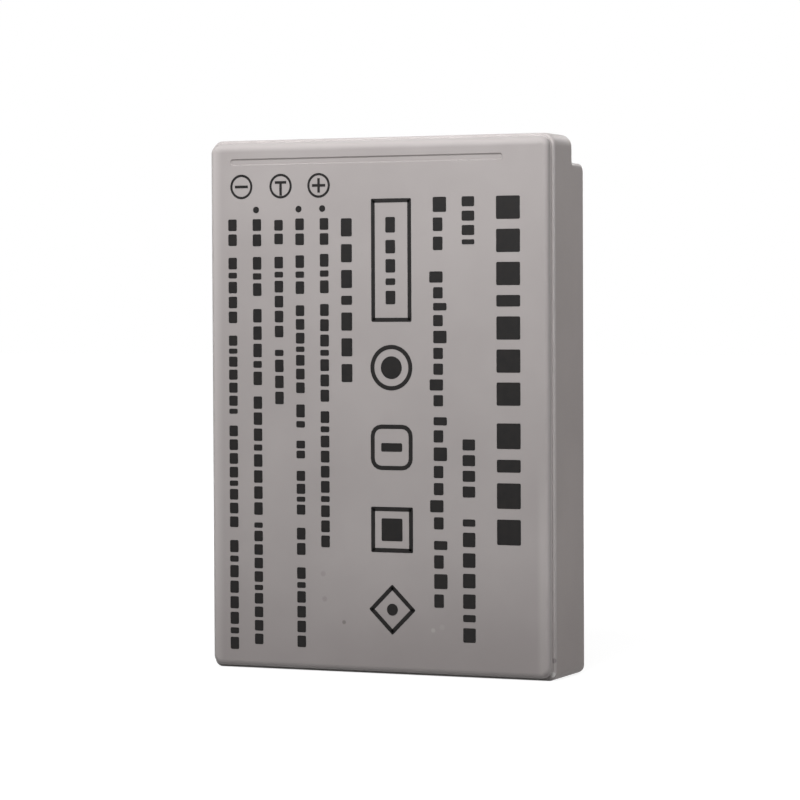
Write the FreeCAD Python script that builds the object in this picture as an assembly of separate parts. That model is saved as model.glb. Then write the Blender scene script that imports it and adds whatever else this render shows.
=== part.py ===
import FreeCAD, Part
import math
import os

# Flat rechargeable battery pack: two moulded shells with a lapped seam round one prismatic cell,
# a protection board under the terminal end, and three contacts behind windows.
# Millimetres. X is the width, Y the thickness from label face to back, Z the height from base to
# terminal end. The origin is the middle of the base.

# Whole pack
PACK_WIDTH = 31.2
PACK_HEIGHT = 44.9
PACK_THICKNESS = 7.9

# Housing walls
FRONT_WALL = 0.6
BACK_WALL = 0.6
SIDE_WALL = 0.8
BASE_WALL = 0.8
TERMINAL_WALL = 0.8
NOSE_WALL = 0.7
LEDGE_WALL = 0.6

# Thin nose at the terminal end, where the back steps in towards the label face
STEP_DEPTH = 2.7
STEP_HEIGHT = 2.3

# Corners of the outline, and roundings of the edges; the label face rolls over furthest at its top
COVER_CORNER = 0.8
COVER_TOP_ROUND = 0.75
COVER_SIDE_ROUND = 0.4
COVER_BASE_ROUND = 0.45
CASE_TOP_CORNER = 1.0
CASE_BASE_CORNER = 0.65
CASE_EDGE_ROUND = 0.35
STEP_OUTER_ROUND = 0.65
STEP_INNER_ROUND = 0.2
CAVITY_PROFILE_ROUND = 0.45
ROUND_LAND = 0.05

# Seam: the cover's edge sits inside the case's rim, and its tongue laps into a rabbet
COVER_EDGE = 0.9
RIM_LEDGE = 0.26
RIM_ROUND = 0.2
SEAM_CHAMFER = 0.08
TONGUE_THICKNESS = 0.3
TONGUE_DEPTH = 0.6
LAP_GAP = 0.05

# Guide groove across the label face, near the terminal end
GROOVE_LEFT_MARGIN = 2.25
GROOVE_RIGHT_MARGIN = 4.3
GROOVE_WIDTH = 0.38
GROOVE_DEPTH = 0.12
GROOVE_FROM_TOP = 1.88
GROOVE_CORNER = 0.15
GROOVE_LIP = 0.1

# Terminals: negative, temperature and positive, from left to right of someone facing the label
TERMINAL_NAMES = ("contact_negative", "contact_temperature", "contact_positive")
TERMINAL_FROM_SIDE = 3.25
TERMINAL_PITCH = 3.6
WINDOW_LENGTH = 2.0
WINDOW_FROM_LAP = 0.3
WINDOW_CORNER = 0.25
WINDOW_CHAMFER = 0.12
CONTACT_BORDER = 0.3
CONTACT_BACK_GAP = 0.05
CONTACT_THICKNESS = 0.3

# Cell: a sealed prismatic can with its lid towards the terminals, between ribs and adhesive pads
HEAD_ROOM = 3.6
CELL_SIDE_GAP = 0.2
CELL_EDGE_ROUND = 2.0
CELL_BASE_ROUND = 0.4
LID_RIM = 0.35
LID_RECESS = 0.15
PAD_THICKNESS = 0.25
PAD_SIDE_MARGIN = 4.0
PAD_END_MARGIN = 4.4
PAD_CORNER = 1.0
RIB_WIDTH = 0.8
RIB_FROM_CELL_END = 8.0

# Negative rivet in the lid, its gasket, and the paper that insulates the lid round it
GASKET_LENGTH = 4.4
GASKET_WIDTH = 2.6
GASKET_THICKNESS = 0.3
RIVET_MARGIN = 0.4
RIVET_THICKNESS = 0.3
PAPER_THICKNESS = 0.2
PAPER_RIM_GAP = 0.3
PAPER_GASKET_GAP = 0.2

# Protection board, on a post at each side wall and keyed by a rib above the post
BOARD_THICKNESS = 0.8
BOARD_END_GAP = 0.2
BOARD_EDGE_GAP = 0.1
BOARD_CORNER = 0.4
POST_WIDTH = 1.4
POST_SETBACK = 0.25
CELL_STOP_GAP = 0.3
KEY_WIDTH = 0.8
KEY_DEPTH = 0.7
KEY_GAP = 0.1

# Nickel strips, and the resettable fuse between the rivet and the board
STRIP_THICKNESS = 0.15
STRIP_WIDTH = 2.5
STRIP_BEND = 0.3
STRIP_TAB = 1.8
STRIP_POST_GAP = 0.3
STRIP_FOOT = 3.2
STRIP_PAPER_GAP = 0.6
STRIP_JOG = 0.7
RIVET_WELD_LENGTH = 2.8
FUSE_LENGTH = 5.0
FUSE_WIDTH = 3.2
FUSE_THICKNESS = 0.7
FUSE_END_MARGIN = 0.6
FUSE_RISER_GAP = 0.9

# Parts soldered under the board, in a row with one gap between neighbours
PART_GAP = 0.8
MOSFET_LENGTH = 4.4
MOSFET_WIDTH = 3.0
MOSFET_HEIGHT = 1.05
MOSFET_LEAD_SPAN = 6.4
MOSFET_LEAD_PITCH = 0.65
CONTROLLER_LENGTH = 2.9
CONTROLLER_WIDTH = 1.6
CONTROLLER_HEIGHT = 1.1
CONTROLLER_LEAD_SPAN = 2.8
CONTROLLER_LEAD_PITCH = 0.95
PACKAGE_STANDOFF = 0.1
LEAD_WIDTH = 0.3
LEAD_THICKNESS = 0.15
LEAD_FOOT = 0.4
LEAD_SHOULDER = 0.45
LEAD_BEND = 0.08
CHIP_LENGTH = 1.6
CHIP_WIDTH = 0.8
CHIP_CAP_LENGTH = 0.3
CHIP_CAP_THICKNESS = 0.05
RESISTOR_HEIGHT = 0.45
RESISTOR_PITCH = 1.6
CAPACITOR_HEIGHT = 0.8
THERMISTOR_HEIGHT = 0.8

# Roundings limited by the wall or the outline that they run into
COVER_ROUND_LIMIT = min(COVER_EDGE - SEAM_CHAMFER, COVER_CORNER) - ROUND_LAND
COVER_TOP = min(COVER_TOP_ROUND, COVER_ROUND_LIMIT)
COVER_SIDE = min(COVER_SIDE_ROUND, COVER_ROUND_LIMIT)
COVER_BASE = min(COVER_BASE_ROUND, COVER_ROUND_LIMIT)
CASE_EDGE = min(CASE_EDGE_ROUND, min(CASE_TOP_CORNER, CASE_BASE_CORNER, STEP_OUTER_ROUND) - ROUND_LAND)

# Housing places
HALF_WIDTH = PACK_WIDTH / 2
FRONT_Y = -PACK_THICKNESS / 2
BACK_Y = PACK_THICKNESS / 2
SEAM_Y = FRONT_Y + COVER_EDGE
TONGUE_END_Y = SEAM_Y + TONGUE_DEPTH
NOSE_BACK_Y = BACK_Y - STEP_DEPTH
NOSE_INNER_Y = NOSE_BACK_Y - NOSE_WALL
LEDGE_Z = PACK_HEIGHT - STEP_HEIGHT
COVER_LOW_Z = RIM_LEDGE
COVER_HIGH_Z = PACK_HEIGHT - RIM_LEDGE
COVER_INNER_Y = FRONT_Y + FRONT_WALL
CAVITY_HALF = HALF_WIDTH - SIDE_WALL
CAVITY_BASE_Z = BASE_WALL
CAVITY_TOP_Z = PACK_HEIGHT - TERMINAL_WALL
CAVITY_BACK_Y = BACK_Y - BACK_WALL

# Terminal places
WINDOW_FRONT_Y = TONGUE_END_Y + LAP_GAP + WINDOW_FROM_LAP
CONTACT_BACK_Y = NOSE_INNER_Y - CAVITY_PROFILE_ROUND - CONTACT_BACK_GAP
WINDOW_BACK_Y = CONTACT_BACK_Y - CONTACT_BORDER
TERMINAL_XS = [TERMINAL_FROM_SIDE - HALF_WIDTH + TERMINAL_PITCH * i for i in range(len(TERMINAL_NAMES))]

# Board places
BOARD_TOP_Z = CAVITY_TOP_Z - CONTACT_THICKNESS
BOARD_BASE_Z = BOARD_TOP_Z - BOARD_THICKNESS
BOARD_HALF = CAVITY_HALF - BOARD_END_GAP
BOARD_FRONT_Y = COVER_INNER_Y + BOARD_EDGE_GAP
BOARD_BACK_Y = NOSE_INNER_Y - BOARD_EDGE_GAP
BOARD_MIDDLE_Y = (BOARD_FRONT_Y + BOARD_BACK_Y) / 2
POST_INNER_X = CAVITY_HALF - POST_WIDTH
KEY_INNER_X = CAVITY_HALF - KEY_DEPTH

# Cell places
CELL_HALF = CAVITY_HALF - CELL_SIDE_GAP
CELL_FRONT_Y = COVER_INNER_Y + PAD_THICKNESS
CELL_BACK_Y = CAVITY_BACK_Y - PAD_THICKNESS
CELL_MIDDLE_Y = (CELL_FRONT_Y + CELL_BACK_Y) / 2
CELL_TOP_Z = BOARD_BASE_Z - HEAD_ROOM
LID_Z = CELL_TOP_Z - LID_RECESS
GASKET_TOP_Z = LID_Z + GASKET_THICKNESS
RIVET_TOP_Z = GASKET_TOP_Z + RIVET_THICKNESS
PAPER_TOP_Z = LID_Z + PAPER_THICKNESS

# Strip and fuse places
TAB_END_X = POST_INNER_X - STRIP_POST_GAP
RISER_X = TAB_END_X - STRIP_TAB
TAB_Z = BOARD_BASE_Z - STRIP_THICKNESS
FUSE_BASE_Z = PAPER_TOP_Z + STRIP_THICKNESS
FUSE_TOP_Z = FUSE_BASE_Z + FUSE_THICKNESS
FUSE_LEFT_X = -RISER_X + FUSE_RISER_GAP
FUSE_RIGHT_X = FUSE_LEFT_X + FUSE_LENGTH
PAPER_RIGHT_X = RISER_X - STRIP_FOOT - STRIP_PAPER_GAP

# Row of parts under the board, from the positive strip towards the temperature contact
CAPACITOR_X = RISER_X - STRIP_THICKNESS - PART_GAP - CHIP_LENGTH / 2
CONTROLLER_X = CAPACITOR_X - CHIP_LENGTH / 2 - PART_GAP - CONTROLLER_LENGTH / 2
MOSFET_X = CONTROLLER_X - CONTROLLER_LENGTH / 2 - PART_GAP - MOSFET_LEAD_SPAN / 2
RESISTOR_X = MOSFET_X - MOSFET_LEAD_SPAN / 2 - PART_GAP - CHIP_LENGTH / 2
THERMISTOR_X = TERMINAL_XS[TERMINAL_NAMES.index("contact_temperature")]

TOLERANCE = 1e-6
SMOOTH_ANGLE = 0.01


def vector(x, y, z):
    """A point or direction in the pack's frame."""
    return FreeCAD.Vector(x, y, z)


def box(low, high):
    """Solid box between two opposite corners."""
    size = [b - a for a, b in zip(low, high)]
    return Part.makeBox(*size, vector(*low))


def both_sides(solid):
    """A solid and its mirror image across the middle of the width."""
    return [solid, solid.mirror(vector(0, 0, 0), vector(1, 0, 0))]


def rounded_wire(corners, place):
    """Closed outline through corners (u, v, radius); place turns a flat (u, v) into a point."""
    arcs = []
    for index, (u, v, radius) in enumerate(corners):
        here = vector(u, v, 0)
        before = vector(*corners[index - 1][:2], 0)
        after = vector(*corners[(index + 1) % len(corners)][:2], 0)
        back = (before - here).normalize()
        ahead = (after - here).normalize()
        half_angle = back.getAngle(ahead) / 2
        reach = radius / math.tan(half_angle)
        inward = (back + ahead).normalize()
        crown = here + inward * (radius / math.sin(half_angle) - radius)
        arcs.append((here + back * reach, crown, here + ahead * reach))
    edges = []
    for index, (start, crown, finish) in enumerate(arcs):
        if (finish - start).Length > TOLERANCE:
            points = [place(p.x, p.y) for p in (start, crown, finish)]
            edges.append(Part.Arc(*points).toShape())
        following = arcs[(index + 1) % len(arcs)][0]
        if (following - finish).Length > TOLERANCE:
            edges.append(Part.makeLine(place(finish.x, finish.y), place(following.x, following.y)))
    return Part.Wire(edges)


def rectangle(u_low, u_high, v_low, v_high, radius):
    """Corners of a rounded rectangle."""
    return [
        (u_low, v_low, radius),
        (u_high, v_low, radius),
        (u_high, v_high, radius),
        (u_low, v_high, radius),
    ]


def lying_plate(corners, base_z, thickness):
    """Plate with a rounded outline in X and Y, lying on the level base_z."""
    outline = rounded_wire(corners, lambda u, v: vector(u, v, base_z))
    return Part.Face(outline).extrude(vector(0, 0, thickness))


def standing_plate(corners, front_y, depth):
    """Plate with a rounded outline in X and Z, reaching back from front_y."""
    outline = rounded_wire(corners, lambda u, v: vector(u, front_y, v))
    return Part.Face(outline).extrude(vector(0, depth, 0))


def round_ended_plate(length, width, base_z, thickness):
    """Round-ended plate on the cell's lid, long in X and centred on the lid."""
    radius = width / 2
    low_y = CELL_MIDDLE_Y - radius
    corners = rectangle(-length / 2, length / 2, low_y, low_y + width, radius)
    return lying_plate(corners, base_z, thickness)


def at_y(item, y):
    """Whether an edge or vertex lies at one place across the thickness."""
    return max(abs(item.BoundBox.YMin - y), abs(item.BoundBox.YMax - y)) < TOLERANCE


def at_z(item, z):
    """Whether an edge or vertex lies at one level."""
    return max(abs(item.BoundBox.ZMin - z), abs(item.BoundBox.ZMax - z)) < TOLERANCE


def drawn_slab(profile, half_width):
    """Side profile (y, z, radius) drawn out in X to half_width on both sides."""
    outline = rounded_wire(profile, lambda u, v: vector(-half_width, u, v))
    return Part.Face(outline).extrude(vector(2 * half_width, 0, 0))


def is_sharp(solid, edge):
    """Whether the two faces at an edge meet at an angle."""
    middle = edge.valueAt((edge.FirstParameter + edge.LastParameter) / 2)
    faces = solid.ancestorsOfType(edge, Part.Face)
    one, other = [face.normalAt(*face.Surface.parameter(middle)) for face in faces]
    return one.getAngle(other) > SMOOTH_ANGLE


def rounded_off_seam(solid, radius):
    """Solid with its sharp edges rounded, apart from those on the seam."""
    edges = [e for e in solid.Edges if is_sharp(solid, e) and not at_y(e, SEAM_Y)]
    return solid.makeFillet(radius, edges)


def seam_edges(slab):
    """Edges of a slab's outline on the seam plane."""
    return [e for e in slab.Edges if at_y(e, SEAM_Y)]


def lap_outline(offset):
    """Cavity outline at the seam, moved outwards by offset."""
    half = CAVITY_HALF + offset
    return rectangle(-half, half, CAVITY_BASE_Z - offset, CAVITY_TOP_Z + offset, offset)


def label_edge_round(end):
    """Rounding of the label face at the end of one stretch of its outline."""
    if at_z(end, COVER_HIGH_Z):
        return COVER_TOP
    if at_z(end, COVER_LOW_Z):
        return COVER_BASE
    return COVER_SIDE


def rolled_label_edge(slab):
    """Slab whose label face rolls over at its outline, with the rounding changing along the corners."""
    rounds = []
    for number, edge in enumerate(slab.Edges, start=1):
        if at_y(edge, FRONT_Y):
            first, last = edge.Vertexes
            rounds.append((number, label_edge_round(first), label_edge_round(last)))
    document = FreeCAD.newDocument()
    plain = document.addObject("Part::Feature", "plain")
    plain.Shape = slab
    rolled = document.addObject("Part::Fillet", "rolled")
    rolled.Base = plain
    rolled.Edges = rounds
    document.recompute()
    shape = rolled.Shape.copy()
    FreeCAD.closeDocument(document.Name)
    return shape


def front_cover():
    """Shallow label-side shell with the guide groove outside and the lap tongue round its edge."""
    half = HALF_WIDTH - RIM_LEDGE
    outline = rectangle(-half, half, COVER_LOW_Z, COVER_HIGH_Z, COVER_CORNER)
    shell = rolled_label_edge(standing_plate(outline, FRONT_Y, COVER_EDGE))
    shell = shell.makeChamfer(SEAM_CHAMFER, seam_edges(shell))
    inner_depth = TONGUE_END_Y - COVER_INNER_Y
    tongue = standing_plate(lap_outline(TONGUE_THICKNESS), COVER_INNER_Y, inner_depth)
    hollow = standing_plate(lap_outline(0), COVER_INNER_Y, inner_depth)
    return grooved(shell.fuse(tongue).cut(hollow).removeSplitter())


def grooved(shell):
    """Cover with the guide groove across its label face, its lips bevelled."""
    left_x = GROOVE_LEFT_MARGIN - HALF_WIDTH
    right_x = HALF_WIDTH - GROOVE_RIGHT_MARGIN
    low_z = PACK_HEIGHT - GROOVE_FROM_TOP - GROOVE_WIDTH / 2
    corners = rectangle(left_x, right_x, low_z, low_z + GROOVE_WIDTH, GROOVE_CORNER)
    groove = standing_plate(corners, FRONT_Y, GROOVE_DEPTH)
    reach = groove.BoundBox
    reach.enlarge(TOLERANCE)
    shell = shell.cut(groove)
    mouth = [e for e in shell.Edges if at_y(e, FRONT_Y) and reach.isInside(e.BoundBox)]
    return shell.makeChamfer(GROOVE_LIP, mouth)


def case_cavity():
    """Space inside the rear case, stepped like its outside, with plain sides."""
    roof_z = LEDGE_Z - LEDGE_WALL
    profile = [
        (SEAM_Y, CAVITY_BASE_Z, 0),
        (CAVITY_BACK_Y, CAVITY_BASE_Z, CAVITY_PROFILE_ROUND),
        (CAVITY_BACK_Y, roof_z, CAVITY_PROFILE_ROUND),
        (NOSE_INNER_Y, roof_z, CAVITY_PROFILE_ROUND),
        (NOSE_INNER_Y, CAVITY_TOP_Z, CAVITY_PROFILE_ROUND),
        (SEAM_Y, CAVITY_TOP_Z, 0),
    ]
    return drawn_slab(profile, CAVITY_HALF)


def side_wall_features():
    """Inside each side wall: the post under the board, the key beside it and the ribs at the cell."""
    front_y = TONGUE_END_Y + POST_SETBACK
    root_x = CAVITY_HALF + SIDE_WALL / 2
    post = box(
        (POST_INNER_X, front_y, CELL_TOP_Z + CELL_STOP_GAP),
        (root_x, NOSE_INNER_Y + NOSE_WALL / 2, BOARD_BASE_Z),
    )
    key = box(
        (KEY_INNER_X, BOARD_MIDDLE_Y - KEY_WIDTH / 2, BOARD_BASE_Z),
        (root_x, BOARD_MIDDLE_Y + KEY_WIDTH / 2, BOARD_TOP_Z),
    )
    features = both_sides(post.fuse(key))
    for middle_z in (CAVITY_BASE_Z + RIB_FROM_CELL_END, CELL_TOP_Z - RIB_FROM_CELL_END):
        rib = box(
            (CELL_HALF, front_y, middle_z - RIB_WIDTH / 2),
            (root_x, CAVITY_BACK_Y + BACK_WALL / 2, middle_z + RIB_WIDTH / 2),
        )
        features += both_sides(rib)
    return features


def terminal_plate(x, border, base_z, thickness):
    """Plate over one terminal window, larger than the window by border all round."""
    half = WINDOW_LENGTH / 2 + border
    corners = rectangle(x - half, x + half, WINDOW_FRONT_Y - border, WINDOW_BACK_Y + border, WINDOW_CORNER)
    return lying_plate(corners, base_z, thickness)


def mouth_edges(shell):
    """Edges of the terminal windows on the terminal end."""
    edges = [e for e in shell.Edges if at_z(e, PACK_HEIGHT)]
    edges = [e for e in edges if e.BoundBox.YMin > WINDOW_FRONT_Y - TOLERANCE]
    return [e for e in edges if e.BoundBox.YMax < WINDOW_BACK_Y + TOLERANCE]


def terminal_step():
    """What the step takes off the back at the terminal end."""
    profile = [
        (NOSE_BACK_Y, LEDGE_Z, STEP_INNER_ROUND),
        (BACK_Y, LEDGE_Z, 0),
        (BACK_Y, PACK_HEIGHT, 0),
        (NOSE_BACK_Y, PACK_HEIGHT, 0),
    ]
    return drawn_slab(profile, HALF_WIDTH)


def rear_case():
    """Deep shell with the stepped terminal end, contact windows and the features that hold the inside."""
    outline = [
        (-HALF_WIDTH, 0, CASE_BASE_CORNER),
        (HALF_WIDTH, 0, CASE_BASE_CORNER),
        (HALF_WIDTH, PACK_HEIGHT, CASE_TOP_CORNER),
        (-HALF_WIDTH, PACK_HEIGHT, CASE_TOP_CORNER),
    ]
    shell = standing_plate(outline, SEAM_Y, BACK_Y - SEAM_Y).cut(terminal_step())
    ledge_edge = [e for e in shell.Edges if at_y(e, BACK_Y) and at_z(e, LEDGE_Z)]
    shell = rounded_off_seam(shell.makeFillet(STEP_OUTER_ROUND, ledge_edge), CASE_EDGE)
    shell = shell.makeFillet(RIM_ROUND, seam_edges(shell))
    rabbet = standing_plate(lap_outline(TONGUE_THICKNESS + LAP_GAP), SEAM_Y, TONGUE_DEPTH + LAP_GAP)
    shell = shell.cut(case_cavity()).cut(rabbet).fuse(side_wall_features())
    windows = [terminal_plate(x, 0, CAVITY_TOP_Z, TERMINAL_WALL) for x in TERMINAL_XS]
    shell = shell.cut(windows).removeSplitter()
    return shell.makeChamfer(WINDOW_CHAMFER, mouth_edges(shell))


def contact(x):
    """Plated contact between the board and the terminal wall, framed by its window."""
    return terminal_plate(x, CONTACT_BORDER, BOARD_TOP_Z, CONTACT_THICKNESS)


def lid_outline(inset):
    """Outline of the cell's can, moved inwards by inset."""
    half = CELL_HALF - inset
    return rectangle(-half, half, CELL_FRONT_Y + inset, CELL_BACK_Y - inset, CELL_EDGE_ROUND - inset)


def cell_can():
    """Sealed prismatic cell: rounded can with its lid set a little below the rim."""
    can = lying_plate(lid_outline(0), CAVITY_BASE_Z, CELL_TOP_Z - CAVITY_BASE_Z)
    can = can.makeFillet(CELL_BASE_ROUND, [e for e in can.Edges if at_z(e, CAVITY_BASE_Z)])
    return can.cut(lying_plate(lid_outline(LID_RIM), LID_Z, LID_RECESS))


def adhesive_pad(front_y):
    """Double-sided pad between one broad face of the cell and its shell."""
    half = CELL_HALF - PAD_SIDE_MARGIN
    low_z = CAVITY_BASE_Z + PAD_END_MARGIN
    corners = rectangle(-half, half, low_z, CELL_TOP_Z - PAD_END_MARGIN, PAD_CORNER)
    return standing_plate(corners, front_y, PAD_THICKNESS)


def rivet_gasket():
    """Plastic seat that keeps the negative rivet off the lid."""
    return round_ended_plate(GASKET_LENGTH, GASKET_WIDTH, LID_Z, GASKET_THICKNESS)


def negative_rivet():
    """Head of the cell's negative terminal, on its gasket."""
    length = GASKET_LENGTH - 2 * RIVET_MARGIN
    width = GASKET_WIDTH - 2 * RIVET_MARGIN
    return round_ended_plate(length, width, GASKET_TOP_Z, RIVET_THICKNESS)


def lid_paper():
    """Insulating paper on the lid, cut out round the gasket and short of the positive strip."""
    sheet = lying_plate(lid_outline(LID_RIM + PAPER_RIM_GAP), LID_Z, PAPER_THICKNESS)
    offcut = box((PAPER_RIGHT_X, CELL_FRONT_Y, LID_Z), (CELL_HALF, CELL_BACK_Y, PAPER_TOP_Z))
    length = GASKET_LENGTH + 2 * PAPER_GASKET_GAP
    width = GASKET_WIDTH + 2 * PAPER_GASKET_GAP
    hole = round_ended_plate(length, width, LID_Z, PAPER_THICKNESS)
    return sheet.cut(offcut).cut(hole)


def bent_outline(points, thickness, bend):
    """Corners of a strip bent along points (u, v), with its thickness on the left of the walk."""
    path = [vector(u, v, 0) for u, v in points]
    directions = [(b - a).normalize() for a, b in zip(path, path[1:])]
    right_side = []
    left_side = []
    for index, here in enumerate(path):
        before = directions[max(index - 1, 0)]
        after = directions[min(index, len(directions) - 1)]
        turn = before.x * after.y - before.y * after.x
        across = (vector(-before.y, before.x, 0) + vector(-after.y, after.x, 0)).normalize()
        far = here + across * (thickness / across.dot(vector(-after.y, after.x, 0)))
        inner, outer = (bend, bend + thickness) if turn else (0, 0)
        right_side.append((here.x, here.y, outer if turn > 0 else inner))
        left_side.append((far.x, far.y, inner if turn > 0 else outer))
    return right_side + left_side[::-1]


def nickel_strip(points):
    """Nickel strip bent along points (x, z), centred under the board."""
    corners = bent_outline(points, STRIP_THICKNESS, STRIP_BEND)
    return standing_plate(corners, BOARD_MIDDLE_Y - STRIP_WIDTH / 2, STRIP_WIDTH)


def fuse_inner_lead():
    """Strip from under the fuse, along the paper and up onto the rivet."""
    jog_x = -GASKET_LENGTH / 2 - PAPER_GASKET_GAP
    return nickel_strip(
        [
            (FUSE_LEFT_X + FUSE_END_MARGIN, PAPER_TOP_Z),
            (jog_x - STRIP_JOG, PAPER_TOP_Z),
            (jog_x, RIVET_TOP_Z),
            (RIVET_WELD_LENGTH / 2, RIVET_TOP_Z),
        ]
    )


def fuse_outer_lead():
    """Strip from the underside of the board down to the top of the fuse."""
    return nickel_strip(
        [
            (-TAB_END_X, TAB_Z),
            (-RISER_X, TAB_Z),
            (-RISER_X, FUSE_TOP_Z),
            (FUSE_RIGHT_X - FUSE_END_MARGIN, FUSE_TOP_Z),
        ]
    )


def positive_strip():
    """Strip from the lid beside the paper up to the underside of the board."""
    return nickel_strip(
        [
            (RISER_X - STRIP_FOOT, LID_Z),
            (RISER_X, LID_Z),
            (RISER_X, TAB_Z),
            (TAB_END_X, TAB_Z),
        ]
    )


def resettable_fuse():
    """Flat polymer fuse between its two leads."""
    return box(
        (FUSE_LEFT_X, BOARD_MIDDLE_Y - FUSE_WIDTH / 2, FUSE_BASE_Z),
        (FUSE_RIGHT_X, BOARD_MIDDLE_Y + FUSE_WIDTH / 2, FUSE_TOP_Z),
    )


def protection_board():
    """Circuit board across the terminal end, notched at both ends for the keys."""
    corners = rectangle(-BOARD_HALF, BOARD_HALF, BOARD_FRONT_Y, BOARD_BACK_Y, BOARD_CORNER)
    board = lying_plate(corners, BOARD_BASE_Z, BOARD_THICKNESS)
    half_notch = KEY_WIDTH / 2 + KEY_GAP
    notch = box(
        (KEY_INNER_X - KEY_GAP, BOARD_MIDDLE_Y - half_notch, BOARD_BASE_Z),
        (CAVITY_HALF, BOARD_MIDDLE_Y + half_notch, BOARD_TOP_Z),
    )
    return board.cut(both_sides(notch))


def under_board(x, length, width, nearest, farthest):
    """Block under the middle of the board, between two depths below it."""
    return box(
        (x - length / 2, BOARD_MIDDLE_Y - width / 2, BOARD_BASE_Z - farthest),
        (x + length / 2, BOARD_MIDDLE_Y + width / 2, BOARD_BASE_Z - nearest),
    )


def lead_frame(x, span, side, pitch):
    """Gull-wing leads that run through a package along X, as many as its side takes at their pitch."""
    count = int(side / pitch)
    knee = span / 2 - LEAD_FOOT
    points = [
        (-span / 2, 0),
        (-knee, 0),
        (-knee, LEAD_SHOULDER),
        (knee, LEAD_SHOULDER),
        (knee, 0),
        (span / 2, 0),
    ]
    corners = [
        (x + u, BOARD_BASE_Z - depth, radius)
        for u, depth, radius in bent_outline(points, LEAD_THICKNESS, LEAD_BEND)
    ]
    first_y = BOARD_MIDDLE_Y - (count - 1) * pitch / 2 - LEAD_WIDTH / 2
    return [standing_plate(corners, first_y + i * pitch, LEAD_WIDTH) for i in range(count)]


def mosfet_pair():
    """Two switching transistors in one moulded package, leads towards both ends of the board."""
    body = under_board(MOSFET_X, MOSFET_LENGTH, MOSFET_WIDTH, PACKAGE_STANDOFF, MOSFET_HEIGHT)
    leads = lead_frame(MOSFET_X, MOSFET_LEAD_SPAN, MOSFET_WIDTH, MOSFET_LEAD_PITCH)
    return body.fuse(leads).removeSplitter()


def protection_controller():
    """Controller in a small moulded package, leads towards both edges of the board."""
    body = under_board(
        CONTROLLER_X, CONTROLLER_LENGTH, CONTROLLER_WIDTH, PACKAGE_STANDOFF, CONTROLLER_HEIGHT
    )
    leads = lead_frame(CONTROLLER_X, CONTROLLER_LEAD_SPAN, CONTROLLER_LENGTH, CONTROLLER_LEAD_PITCH)
    middle = vector(CONTROLLER_X, BOARD_MIDDLE_Y, 0)
    quarter_turn = 90
    turned = [lead.rotate(middle, vector(0, 0, 1), quarter_turn) for lead in leads]
    return body.fuse(turned).removeSplitter()


def chip(x, height):
    """Ceramic chip with a metal cap round each end."""
    core_width = CHIP_WIDTH - 2 * CHIP_CAP_THICKNESS
    core = under_board(x, CHIP_LENGTH, core_width, CHIP_CAP_THICKNESS, height - CHIP_CAP_THICKNESS)
    reach = (CHIP_LENGTH - CHIP_CAP_LENGTH) / 2
    caps = [under_board(x + side, CHIP_CAP_LENGTH, CHIP_WIDTH, 0, height) for side in (-reach, reach)]
    return core.fuse(caps).removeSplitter()


def chip_resistors():
    """Two resistors side by side, as separate solids."""
    resistors = []
    for side in (-RESISTOR_PITCH / 2, RESISTOR_PITCH / 2):
        resistor = chip(RESISTOR_X, RESISTOR_HEIGHT)
        resistor.translate(vector(0, side, 0))
        resistors.append(resistor)
    return Part.makeCompound(resistors)


def build():
    """Every piece of the pack under its node name."""
    pieces = {
        "front_cover": front_cover(),
        "rear_case": rear_case(),
        "cell_can": cell_can(),
        "front_adhesive_pad": adhesive_pad(COVER_INNER_Y),
        "rear_adhesive_pad": adhesive_pad(CELL_BACK_Y),
        "rivet_gasket": rivet_gasket(),
        "negative_rivet": negative_rivet(),
        "lid_paper": lid_paper(),
        "fuse_inner_lead": fuse_inner_lead(),
        "resettable_fuse": resettable_fuse(),
        "fuse_outer_lead": fuse_outer_lead(),
        "positive_strip": positive_strip(),
        "protection_board": protection_board(),
        "mosfet_pair": mosfet_pair(),
        "protection_controller": protection_controller(),
        "thermistor": chip(THERMISTOR_X, THERMISTOR_HEIGHT),
        "chip_resistors": chip_resistors(),
        "chip_capacitor": chip(CAPACITOR_X, CAPACITOR_HEIGHT),
    }
    for name, x in zip(TERMINAL_NAMES, TERMINAL_XS):
        pieces[name] = contact(x)
    return pieces


def main():
    """Writes one STEP file for each piece."""
    os.makedirs("parts", exist_ok=True)
    for name, shape in build().items():
        shape.exportStep(os.path.join("parts", name + ".step"))
        print(f"{name}: {len(shape.Solids)} solid, {shape.Volume:.2f} mm3, valid {shape.isValid()}")


main()
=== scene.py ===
"""Looks of a flat rechargeable battery pack: its finishes, the print on its face, camera and studio."""
import logging
import math
from dataclasses import dataclass
from enum import Enum
from functools import cache
from itertools import cycle
from typing import Protocol

import bmesh
import bpy
from mathutils import Color, Matrix, Vector


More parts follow.
